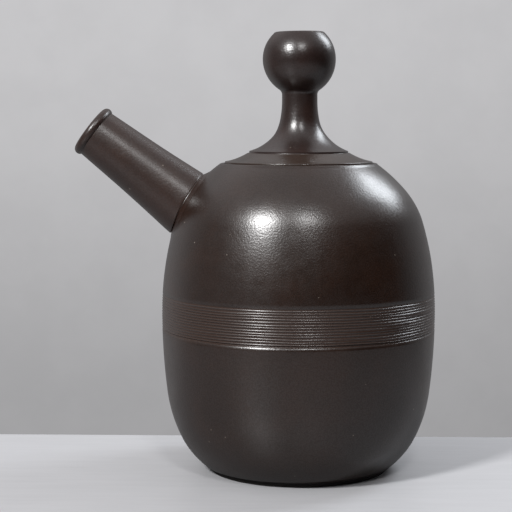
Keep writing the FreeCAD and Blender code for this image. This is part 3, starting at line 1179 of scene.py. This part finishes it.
@dataclass
class Spout(Piece):
    """Tapered tube with a rolled lip, whose root stands on the collar.

    Attributes:
        axis: Its axis.
        root_radius: Outer radius at the root.
        neck_radius: Outer radius just behind the lip.
        bow: How far the side is hollowed between root and lip.
        lip_stand: How far the rolled lip stands out from the neck.
        lip_rounding: Radius of the lip.
        edge_rounding: Radius of the root's edge.
        unevenness: How far the side strays inwards.
        rows: Rows of the root's edge, the side, the bore and the face on the collar.
        around: Number of turns in the mesh.
    """

    axis: SpoutAxis
    root_radius: float = 11.5
    neck_radius: float = 8.65
    bow: float = 0.3
    lip_stand: float = 0.7
    lip_rounding: float = 1.7
    edge_rounding: float = 0.35
    unevenness: float = 0.05
    rows: tuple[int, int, int, int] = (7, 48, 12, 4)
    around: int = 256

    def side(self, height: Array) -> Array:
        """Outer radius: a straight taper less bow times 4 t (1 - t), and no hollow below the root.

        Args:
            height: Distances along the axis.

        Returns:
            Radius at each.
        """
        share = np.clip(height / (self.axis.length - self.lip_rounding), 0.0, 1.0)
        taper = self.root_radius + (self.neck_radius - self.root_radius) * height / self.axis.length
        return taper - self.bow * 4 * share * (1 - share)

    def build(self) -> bpy.types.Object:
        """Turn the tube on its axis, fit its root to the body and dress it.

        Every turn has the same number of rows: the root's edge, the side, the lip, the bore and the
        face that stands on the collar.  Their heights follow the body's skin at the root.

        Returns:
            The piece.
        """
        axis = self.axis
        turn = turns(self.around)
        seat = axis.seat(turn)
        lip_radius = self.neck_radius + self.lip_stand
        lip_centre = np.array([lip_radius - self.lip_rounding, axis.length - self.lip_rounding])
        behind_lip = -math.acos((self.neck_radius - lip_centre[0]) / self.lip_rounding)
        neck_height = lip_centre[1] + self.lip_rounding * math.sin(behind_lip)
        root = axis.height_for_lift(turn, self.side, seat)

        edge_rows, side_rows, bore_rows, face_rows = self.rows
        turned_in = np.linspace(0.0, QUARTER, edge_rows)[None, :]
        edge_height = root + self.edge_rounding * (1 - np.cos(turned_in))
        edge_radius = self.side(edge_height) - self.edge_rounding * (1 - np.sin(turned_in))
        start = root + self.edge_rounding
        share = np.linspace(0.0, 1.0, side_rows + 1)[None, 1:]
        side_height = start + (neck_height - start) * share
        to_neck = self.neck_radius - self.side(np.array(neck_height))
        side_radius = self.side(side_height) + to_neck * share**6

        mouth_rounding = lip_centre[0] - axis.mouth_bore
        mouth_centre = np.array([lip_centre[0], axis.length - mouth_rounding])
        lip = Outline(self.neck_radius, neck_height, spacing=0.22)
        lip.arc(lip_centre, self.lip_rounding, behind_lip, QUARTER)
        lip.arc(mouth_centre, mouth_rounding, QUARTER, 2 * QUARTER, spacing=0.35)
        rolled = lip.points()[1:]
        inner_end = axis.height_for_lift(turn, axis.bore, seat)
        down = np.linspace(0.0, 1.0, bore_rows + 1)[None, 1:]
        bore_height = mouth_centre[1] + (inner_end - mouth_centre[1]) * down
        out = np.linspace(0.0, 1.0, face_rows + 2)[None, 1:-1]
        face_radius = axis.bore(inner_end) + (edge_radius[:, :1] - axis.bore(inner_end)) * out
        face_height = axis.height_for_lift(turn, lambda _: face_radius, seat + 0 * face_radius)

        ones = np.ones((self.around, 1))
        radius = np.concatenate([edge_radius, side_radius, ones * rolled[:, 0],
                                 axis.bore(bore_height), face_radius], axis=1)
        height = np.concatenate([edge_height, side_height, ones * rolled[:, 1],
                                 bore_height, face_height], axis=1)
        free = slice(edge_rows + 4, edge_rows + side_rows - 6)
        sway = 0.5 + 0.5 * np.clip(waves(turn, height, seed=8, turns_up_to=3, length=25.0), -1, 1)
        radius[:, free] -= self.unevenness * sway[:, free] * np.hanning(side_rows - 10)[None, :]
        # Light tan on the root's edge, strongest on the upper side and gone on the underside: worn raw
        # clay, and a painted highlight where the edge faces the lamps.
        worn_and_lit_edge = np.zeros(radius.shape)
        worn_and_lit_edge[:, :edge_rows] = smooth(-0.9, 0.3, np.cos(turn)) * np.cos(turned_in * 1.2).clip(0.0) ** 2
        places = axis.places(turn, radius, height)
        piece = add_mesh("spout_clay", places, ring=True, attributes={"groove": worn_and_lit_edge}, crease=50.0)
        self.dress(piece)
        return piece


@dataclass
class SpoutCollar(Piece):
    """Ring of softer clay that lutes the spout on and runs out over the body in a hollow fillet.

    Attributes:
        axis: The spout's axis.
        edge_radius: Radius of its upright edge under the spout.
        spread: How far it runs out over the body.
        step: Height of the upright edge.
        hollow: Power of its fall: 1 is a straight slope, 2 a deep hollow.
        bite: How far its feather edge is pressed under the skin.
        ragged: How far its outer edge strays.
        finger_marks: Depth of the marks that the fingers left on it.
        rows: Rows of its top under the spout, its fall and its underside.
        around: Number of turns in the mesh.
    """

    axis: SpoutAxis
    edge_radius: float = 11.25
    spread: float = 3.6
    step: float = 0.25
    hollow: float = 1.9
    bite: float = 0.15
    ragged: float = 0.3
    finger_marks: float = 0.045
    rows: tuple[int, int, int] = (5, 17, 6)
    around: int = 256

    def build(self) -> bpy.types.Object:
        """Lay the collar over the skin, row by row outwards, and dress it.

        Over its spread, the lift is (seat - step) (1 - s) ** hollow less bite times s.

        Returns:
            The piece.
        """
        axis = self.axis
        turn = turns(self.around)
        top_rows, fall_rows, under_rows = self.rows
        share = np.linspace(0.0, 1.0, fall_rows)[None, :]
        stray = waves(turn, np.zeros((1, 1)), seed=31, turns_up_to=7) * self.ragged
        spread = self.spread - np.abs(stray)
        fall_radius = self.edge_radius + spread * share
        fall_lift = (axis.seat(turn) - self.step) * (1 - share) ** self.hollow - self.bite * share
        finger = grain((self.around, share.shape[1]), blur=(7.0, 3.0), seed=33)
        fall_lift = fall_lift + self.finger_marks * np.clip(finger, -2, 2) * np.sin(math.pi * share) ** 2
        ones = np.ones((self.around, 1))
        top_share = np.linspace(0.0, 1.0, top_rows)[None, :]
        top_radius = axis.root_bore + (self.edge_radius - axis.root_bore) * top_share * ones
        low_share = np.linspace(1.0, 0.0, under_rows + 1)[None, 1:]
        low_radius = axis.root_bore + (fall_radius[:, -1:] - axis.root_bore) * low_share
        radius = np.concatenate([top_radius, fall_radius, low_radius], axis=1)
        lift = np.concatenate([axis.seat(turn) + 0 * top_radius, fall_lift,
                               np.full(low_radius.shape, -self.bite)], axis=1)
        height = axis.height_for_lift(turn, lambda _: radius, lift)
        places = axis.places(turn, radius, height)[:, ::-1]
        piece = add_mesh("spout_collar_clay", places, ring=True, crease=60.0)
        self.dress(piece)
        return piece


# ---------------------------------------------------------------- the lid
@dataclass
class Lid(Piece):
    """Dished disc that drops onto the ledge, with a flange that holds it when the bottle tips.

    Attributes:
        rim_height: Height of the body's rim.
        ledge_height: Height of the ledge it sits on.
        crown_height: Height of the flat that carries the knob.
        radius: Radius of its edge.
        edge_rise: How far its edge stands over the rim.
        edge_rounding: Radius of that edge.
        crown_radius: Radius of that flat.
        crown_rounding: Radius of the flat's edge.
        crown_lean: Lean, in degrees, at which that rounding turns into the dish.
        dish: Sag of the dished top.
        thickness: Thickness under the knob.
        flange_radius: Outer radius of the flange.
        flange_depth: Depth of the flange under the ledge.
        flange_wall: Thickness of the flange.
        flange_rounding: Radius of the flange's lower edges.
        bore: Radius of the hole under the knob.
        unevenness: How far the dish strays downwards.
        around: Number of turns in the mesh.
    """

    rim_height: float
    ledge_height: float
    crown_height: float
    radius: float = 25.3
    edge_rise: float = 0.6
    edge_rounding: float = 0.3
    crown_radius: float = 17.2
    crown_rounding: float = 0.9
    crown_lean: float = 60.0
    dish: float = 0.33
    thickness: float = 3.6
    flange_radius: float = 20.0
    flange_depth: float = 7.0
    flange_wall: float = 3.0
    flange_rounding: float = 1.0
    bore: float = 2.2
    unevenness: float = 0.06
    around: int = 384

    def build(self) -> bpy.types.Object:
        """Turn the lid and dress it.

        Returns:
            The piece.
        """
        edge_height = self.rim_height + self.edge_rise
        edge_centre = np.array([self.radius - self.edge_rounding, edge_height - self.edge_rounding])
        crown_centre = np.array([self.crown_radius, self.crown_height - self.crown_rounding])
        lean = math.radians(self.crown_lean)
        crown_end = crown_centre + facing(lean) * self.crown_rounding
        bottom = self.ledge_height - self.flange_depth
        inner = self.flange_radius - self.flange_wall
        turn_height = bottom + self.flange_rounding
        outer_centre = np.array([self.flange_radius - self.flange_rounding, turn_height])
        inner_centre = np.array([inner + self.flange_rounding, turn_height])
        underside = self.crown_height - self.thickness

        top = Outline(self.radius, self.ledge_height, spacing=0.6)
        top.line(self.radius, edge_centre[1], spacing=0.9)
        top.arc(edge_centre, self.edge_rounding, 0.0, QUARTER, spacing=0.1)
        top.bow(*crown_end, self.dish)
        top.arc(crown_centre, self.crown_rounding, lean, QUARTER, spacing=0.12)
        top.line(self.bore, self.crown_height, spacing=2.5).line(self.bore, underside, spacing=1.2)
        top.line(inner, underside, spacing=2.5).line(inner, turn_height, spacing=2.0)
        top.arc(inner_centre, self.flange_rounding, -2 * QUARTER, -QUARTER, spacing=0.3)
        top.line(outer_centre[0], bottom)
        top.arc(outer_centre, self.flange_rounding, -QUARTER, 0.0, spacing=0.3)
        top.line(self.flange_radius, self.ledge_height, spacing=1.5)
        top.line(self.radius, self.ledge_height, spacing=1.2)
        section = top.points()[:-1]
        turn = turns(self.around)
        sag = smooth(self.crown_radius + 0.5, self.radius - 2.0, section[:, 0])
        sag = sag * smooth(self.radius + 0.05, self.radius - 1.5, section[:, 0])
        sag = sag * (section[:, 1] > edge_height - 0.01)
        wave = waves(turn, section[None, :, 0], seed=41, turns_up_to=5, length=12.0)
        drop = sag * self.unevenness * (0.5 + 0.5 * np.clip(wave, -1, 1))
        places = swept(turn, section[:, 0], section[:, 1] - drop)
        piece = add_mesh("lid_clay", places, ring=True, crease=50.0)
        self.dress(piece)
        return piece


@dataclass
class LidKnob(Piece):
    """Knob of the lid: skirt, flare, thin stem and a hollow ball with a flat top.

    Attributes:
        foot: Height of the flat that it is luted to.
        radius: Radius of the skirt's edge.
        edge_height: Height of that edge over the lid.
        luting: Radius of the hollow of clay that lutes the edge to the lid.
        luting_bite: How far that clay is pressed under the lid's surface.
        luting_reach: How far inside the edge that clay starts.
        stem_radius: Radius of the stem at its thinnest.
        curves: Radii of the stem's, the flare's and the skirt's arcs.
        leans: Degrees from upright where the stem turns into the flare and the flare into the skirt.
        straight: Length of the thinnest stretch.
        fillet: Radius where the stem meets the ball.
        ball_radius: Radius of the ball.
        flat_radius: Radius at which the ball is cut flat.
        flat_rounding: Radius of the flat's edge.
        ball_wall: Thickness of the ball's wall.
        bore: Radius of the bore in the stem.
        air_hole: Radius of the hole in the top.
        hole_chamfer: Chamfer of that hole's edge.
        foot_width: Width of the ring that is luted to the lid.
        hollow_height: Height at which the skirt's hollow ends.
        off_centre: How far the stem and the ball are thrown off the axis.
        off_height: Height over the skirt's edge at which the stem is fully off it.
        tilt: How far the flat top drops to one side.
        tilt_start: Height over the ball's middle at which the drop starts.
        pinch: How much further the flare was pressed in on the spout's side.
        pressed: Heights over the edge where that starts, is full, is still full, and ends.
        around: Number of turns in the mesh.
    """

    foot: float
    radius: float = 16.95
    edge_height: float = 0.6
    luting: float = 0.32
    luting_bite: float = 0.14
    luting_reach: float = 0.5
    stem_radius: float = 6.05
    curves: tuple[float, float, float] = (34.8, 11.8, 19.0)
    leans: tuple[float, float] = (11.0, 43.8)
    straight: float = 1.96
    fillet: float = 2.0
    ball_radius: float = 12.45
    flat_radius: float = 8.2
    flat_rounding: float = 1.1
    ball_wall: float = 5.2
    bore: float = 2.2
    air_hole: float = 1.6
    hole_chamfer: float = 0.3
    foot_width: float = 5.2
    hollow_height: float = 6.0
    off_centre: tuple[float, float] = (0.32, 0.12)
    off_height: float = 6.0
    tilt: float = 0.12
    tilt_start: float = 3.0
    pinch: float = 0.5
    pressed: tuple[float, float, float, float] = (0.0, 1.2, 2.0, 10.0)
    around: int = 320

    def build(self) -> bpy.types.Object:
        """Turn the knob, lean it a little as thrown, and dress it.

        Returns:
            The piece.
        """
        half = math.pi
        stem_curve, flare_curve, skirt_curve = self.curves
        stem_end, flare_end = (math.radians(lean) for lean in self.leans)
        edge = np.array([self.radius, self.foot + self.edge_height])
        flare_reach = (self.stem_radius + stem_curve * (1 - math.cos(stem_end))
                       + flare_curve * (math.cos(stem_end) - math.cos(flare_end)))
        skirt_end = math.acos(math.cos(flare_end) - (self.radius - flare_reach) / skirt_curve)
        skirt_centre = edge + facing(skirt_end) * skirt_curve
        flare_centre = skirt_centre - facing(flare_end) * (skirt_curve - flare_curve)
        stem_centre = flare_centre + facing(stem_end) * (stem_curve - flare_curve)

        waist = stem_centre[1]
        fillet_centre = np.array([self.stem_radius + self.fillet, waist + self.straight])
        fillet_end = math.acos(fillet_centre[0] / (self.ball_radius + self.fillet))
        ball_centre = fillet_centre + facing(half - fillet_end) * (self.ball_radius + self.fillet)
        top = ball_centre[1] + math.sqrt(self.ball_radius ** 2 - self.flat_radius ** 2)
        inner_radius = self.ball_radius - self.flat_rounding
        turn_lean = math.asin((top - self.flat_rounding - ball_centre[1]) / inner_radius)
        turn_centre = ball_centre + facing(turn_lean) * inner_radius
        hollow_radius = self.ball_radius - self.ball_wall
        hollow_top = math.acos(self.air_hole / hollow_radius)
        hollow_foot = -math.acos(self.bore / hollow_radius)

        luting_centre = np.array([self.radius + self.luting, self.foot + self.luting - self.luting_bite])
        knob = Outline(luting_centre[0], self.foot - self.luting_bite, spacing=0.7)
        knob.arc(luting_centre, self.luting, -half / 2, -half, spacing=0.06)
        knob.line(*edge, spacing=0.15)
        knob.arc(skirt_centre, skirt_curve, half + skirt_end, half + flare_end)
        knob.arc(flare_centre, flare_curve, half + flare_end, half + stem_end)
        knob.arc(stem_centre, stem_curve, half + stem_end, half)
        knob.line(self.stem_radius, fillet_centre[1], spacing=0.5)
        knob.arc(fillet_centre, self.fillet, half, half - fillet_end, spacing=0.15)
        knob.arc(ball_centre, self.ball_radius, -fillet_end, turn_lean, spacing=0.5)
        knob.arc(turn_centre, self.flat_rounding, turn_lean, half / 2, spacing=0.15)
        chamfer = self.hole_chamfer
        knob.line(self.air_hole + chamfer, top, spacing=1.2).line(self.air_hole, top - chamfer, spacing=0.2)
        knob.line(*(ball_centre + facing(hollow_top) * hollow_radius), spacing=1.0)
        knob.arc(ball_centre, hollow_radius, hollow_top, hollow_foot, spacing=1.2)
        knob.line(self.bore, self.foot + self.hollow_height, spacing=2.5)
        knob.line(self.radius - self.foot_width, self.foot, spacing=2.0)
        knob.line(self.radius - self.luting_reach, self.foot, spacing=1.5)
        knob.line(luting_centre[0], self.foot - self.luting_bite, spacing=0.4)
        section = knob.points()[:-1]
        turn = turns(self.around)
        pressed = plateau(self.pressed, section[:, 1] - edge[1]) * (1 - np.cos(turn)) / 2
        places = swept(turn, section[:, 0] - self.pinch * pressed, section[:, 1])
        stem_off, ball_off = self.off_centre
        places[..., 0] += stem_off * smooth(edge[1], edge[1] + self.off_height, section[:, 1])
        places[..., 0] += (ball_off - stem_off) * smooth(waist, ball_centre[1], section[:, 1])
        cap = smooth(ball_centre[1] + self.tilt_start, top, section[:, 1])
        places[..., 2] -= cap * self.tilt * (1 - places[..., 0] / self.ball_radius)
        piece = add_mesh("lid_knob_clay", places, ring=True, crease=50.0)
        self.dress(piece)
        return piece


# ---------------------------------------------------------------- the studio
@dataclass(frozen=True)
class Lamp:
    """Soft lamp that faces the bottle.

    Attributes:
        name: Name of the lamp.
        place: Where it stands, in metres.
        size: Width and height, in metres; equal for a round one.
        power: Power in watts.
        colour: Colour of its light.
        target: What it faces, in metres.
        shape: Its outline.
    """

    name: str
    place: tuple[float, float, float]
    size: tuple[float, float]
    power: float
    colour: Colour = (1.0, 1.0, 1.0)
    target: tuple[float, float, float] = (0.0, 0.0, 0.09)
    shape: LampShape = LampShape.ROUND

    def build(self) -> None:
        """Add the lamp, hidden from the camera."""
        light = bpy.data.lights.new(self.name, "AREA")
        light.shape = self.shape.value
        light.size, light.size_y = self.size
        light.energy = self.power
        light.color = self.colour
        lamp = bpy.data.objects.new(self.name, light)
        bpy.context.scene.collection.objects.link(lamp)
        away = np.array(self.place) - np.array(self.target)
        turn = math.atan2(away[0], -away[1])
        tip = math.atan2(math.hypot(away[0], away[1]), away[2])
        lamp.location = self.place
        lamp.rotation_euler = (tip, 0.0, turn)
        lamp.visible_camera = False


@dataclass(frozen=True)
class Backdrop:
    """Pale backdrop, as the camera sees it, and the dim room that the clay reflects.

    Attributes:
        low: Grey at the bottom of the backdrop.
        high: Grey at its top.
        beyond: Grey that the clay reflects from beyond the backdrop.
        ceiling: Grey overhead.
        left: Grey of the wall on the left.
        seen_rise: Upward parts of the direction at which the backdrop starts and ends.
        beyond_depth: Forward parts at which that grey starts and is full.
        ceiling_rise: Upward parts at which the ceiling starts and is full.
        left_side: Sideways parts at which the wall starts and is full.
        mottling: How far the backdrop's grey strays.
        shaded_side: Share of the grey that is left on the right.
        tint: Colour of the greys.
    """

    low: float = 0.36
    high: float = 0.575
    beyond: float = 0.27
    ceiling: float = 0.40
    left: float = 0.13
    seen_rise: tuple[float, float] = (-0.24, 0.08)
    beyond_depth: tuple[float, float] = (-0.1, 0.75)
    ceiling_rise: tuple[float, float] = (0.3, 0.85)
    left_side: tuple[float, float] = (-0.3, -0.9)
    mottling: float = 0.02
    shaded_side: float = 0.93
    tint: Colour = (0.985, 0.978, 1.0)

    def build(self) -> None:
        """Build the world: one gradient for the camera, and the room for all other rays."""
        world = bpy.data.worlds.new("room")
        bpy.context.scene.world = world
        world.use_nodes = True
        nodes = Nodes(world.node_tree)
        direction = nodes.add("ShaderNodeTexCoord").outputs["Generated"]
        parts = nodes.add("ShaderNodeSeparateXYZ")
        nodes.put(parts.inputs["Vector"], direction)
        side, depth, rise = parts.outputs
        cloud = nodes.noise(direction, 26.0, detail=4.0, roughness=0.6)
        mottle = nodes.spread(cloud, *MIDDLING, 1 - self.mottling, 1 + self.mottling)
        aside = nodes.math("MULTIPLY", mottle, nodes.spread(side, -0.02, 0.2, 1.0, self.shaded_side))
        seen = nodes.math("MULTIPLY", nodes.spread(rise, *self.seen_rise, self.low, self.high), aside)
        behind = nodes.spread(depth, *self.beyond_depth, 0.0, self.beyond)
        above = nodes.spread(rise, *self.ceiling_rise, 0.0, self.ceiling)
        beside = nodes.spread(side, *self.left_side, 0.0, self.left)
        felt = nodes.math("ADD", nodes.math("ADD", behind, above), beside)
        rays = nodes.add("ShaderNodeLightPath")
        more = nodes.math("SUBTRACT", seen, felt)
        level = nodes.math("ADD", felt, nodes.math("MULTIPLY", rays.outputs["Is Camera Ray"], more))
        background = nodes.add("ShaderNodeBackground")
        nodes.put(background.inputs["Color"], nodes.mix(level, (0.0, 0.0, 0.0), self.tint))
        nodes.put(background.inputs["Strength"], 1.0)
        out = nodes.add("ShaderNodeOutputWorld")
        nodes.put(out.inputs["Surface"], background.outputs["Background"])


@dataclass(frozen=True)
class Board:
    """Painted board that the bottle stands on.

    Attributes:
        low: Its lowest corner in metres.
        high: Its highest corner in metres.
        colour: Colour of the paint.
        shaded: Share of that colour that the clay sees, as if flags stood just out of view.
        roughness: Roughness of the paint.
        edge: Radius of the board's edges in metres.
        strokes: Brush marks per metre, across them.
        stroke_stretch: Share of that along them.
        stroke_shade: How far they are lighter or darker.
        blotching: How far broad patches are lighter or darker.
        stroke_height: Their height in metres.
    """

    low: tuple[float, float, float] = (-0.45, -0.62, -0.02)
    high: tuple[float, float, float] = (0.45, 0.049, 0.0)
    colour: Colour = (0.68, 0.68, 0.70)
    shaded: float = 0.36
    roughness: float = 0.38
    edge: float = 0.0012
    strokes: float = 260.0
    stroke_stretch: float = 0.12
    stroke_shade: float = 0.022
    blotching: float = 0.015
    stroke_height: float = 0.00008

    def build(self) -> None:
        """Add the board with rounded edges and brushed paint."""
        corners = np.array([[x, y, z] for x in (0, 1) for y in (0, 1) for z in (0, 1)], float)
        places = np.array(self.low) + corners * (np.array(self.high) - np.array(self.low))
        faces = [(0, 1, 3, 2), (4, 6, 7, 5), (0, 4, 5, 1), (2, 3, 7, 6), (0, 2, 6, 4), (1, 5, 7, 3)]
        mesh = bpy.data.meshes.new("board")
        mesh.from_pydata(places.tolist(), [], faces)
        board = bpy.data.objects.new("board", mesh)
        bpy.context.scene.collection.objects.link(board)
        bevel = board.modifiers.new("edge", "BEVEL")
        bevel.width = self.edge
        bevel.segments = 4
        mesh.materials.append(self.paint())

    def paint(self) -> bpy.types.Material:
        """Satin paint with faint brush marks along the board.

        Returns:
            The material.
        """
        made = bpy.data.materials.new("board_paint")
        made.use_nodes = True
        nodes = Nodes(made.node_tree)
        place = nodes.add("ShaderNodeTexCoord").outputs["Object"]
        stretch = nodes.add("ShaderNodeMapping")
        nodes.put(stretch.inputs["Vector"], place)
        stretch.inputs["Scale"].default_value = (self.stroke_stretch, 1.0, 1.0)
        stroke = nodes.noise(stretch.outputs["Vector"], self.strokes, detail=3.0, roughness=0.6)
        cloud = nodes.noise(place, 14.0, detail=2.0)
        streak = nodes.spread(stroke, *MIDDLING, -self.stroke_shade, self.stroke_shade)
        blotch = nodes.spread(cloud, *MIDDLING, 1 - self.blotching, 1 + self.blotching)
        shade = nodes.math("ADD", streak, blotch)
        camera_ray = nodes.add("ShaderNodeLightPath").outputs["Is Camera Ray"]
        seen = nodes.spread(camera_ray, 0.0, 1.0, self.shaded, 1.0)
        colour = nodes.tone(self.colour, nodes.math("MULTIPLY", shade, seen))
        nodes.surface({"Base Color": colour, "Roughness": self.roughness,
                       "Normal": nodes.relief(stroke, self.stroke_height)})
        return made


@dataclass(frozen=True)
class Camera:
    """Camera in front of the bottle, half a metre away and a little above its belly.

    Attributes:
        place: Where it stands, in metres.
        down: How far it looks down, in degrees.
        turn: How far it is turned to the left, in degrees.
        lens: Focal length in millimetres.
        sensor: Width of the sensor in millimetres.
    """

    place: tuple[float, float, float] = (0.0, -0.5099, 0.1228)
    down: float = 5.504
    turn: float = 1.643
    lens: float = 104.34
    sensor: float = 36.0

    def build(self) -> None:
        """Add the camera and look through it."""
        lens = bpy.data.cameras.new("camera")
        lens.lens = self.lens
        lens.sensor_width = self.sensor
        lens.clip_start = 0.01
        camera = bpy.data.objects.new("camera", lens)
        camera.location = self.place
        camera.rotation_euler = (math.radians(90.0 - self.down), 0.0, math.radians(self.turn))
        bpy.context.scene.collection.objects.link(camera)
        bpy.context.scene.camera = camera


LAMPS = [
    Lamp("main_lamp", (-0.598, -0.800, 0.812), (0.18, 0.18), 10.8),
    Lamp("second_lamp", (0.142, -0.918, 0.905), (0.18, 0.18), 2.4),
    Lamp("window", (0.305, 0.210, 0.388), (0.16, 0.20), 0.88, colour=(0.90, 0.95, 1.0),
         shape=LampShape.OBLONG),
]


def main() -> None:
    """Build the bottle's pieces in their order, then the studio."""
    logging.basicConfig(level=logging.INFO, format="%(message)s")
    _, body_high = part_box("bottle_body")
    _, foot_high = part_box("foot_ring")
    knob_low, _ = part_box("lid_knob")
    skin = Skin(belly_radius=body_high.x / MM, foot_height=foot_high.z / MM)
    axis = SpoutAxis(skin)
    rim_height = body_high.z / MM
    ledge_height = rim_height - BottleBody.ledge_depth
    band = Band(skin.belly_height + BAND_RISE)
    pieces = [
        BottleBody("bottle_body", Body.VESSEL, "body_clay", BURNISHED, skin, band, axis.cutter()),
        FootRing("foot_ring", Body.VESSEL, "foot_clay", BARE, foot_high.x / MM, foot_high.z / MM),
        Spout("spout", Body.VESSEL, "spout_clay", BURNISHED_SPOUT, axis),
        SpoutCollar("spout_collar", Body.VESSEL, "luting_clay", LUTING, axis),
        Lid("lid", Body.LID_UNIT, "lid_clay", BURNISHED_LID, rim_height, ledge_height, knob_low.z / MM),
        LidKnob("lid_knob", Body.LID_UNIT, "knob_clay", BURNISHED_KNOB, knob_low.z / MM),
    ]
    for piece in pieces:
        piece.build()
    Backdrop().build()
    Board().build()
    for lamp in LAMPS:
        lamp.build()
    Camera().build()
    bpy.context.scene.view_settings.view_transform = "Standard"


if __name__ == "__main__":
    main()
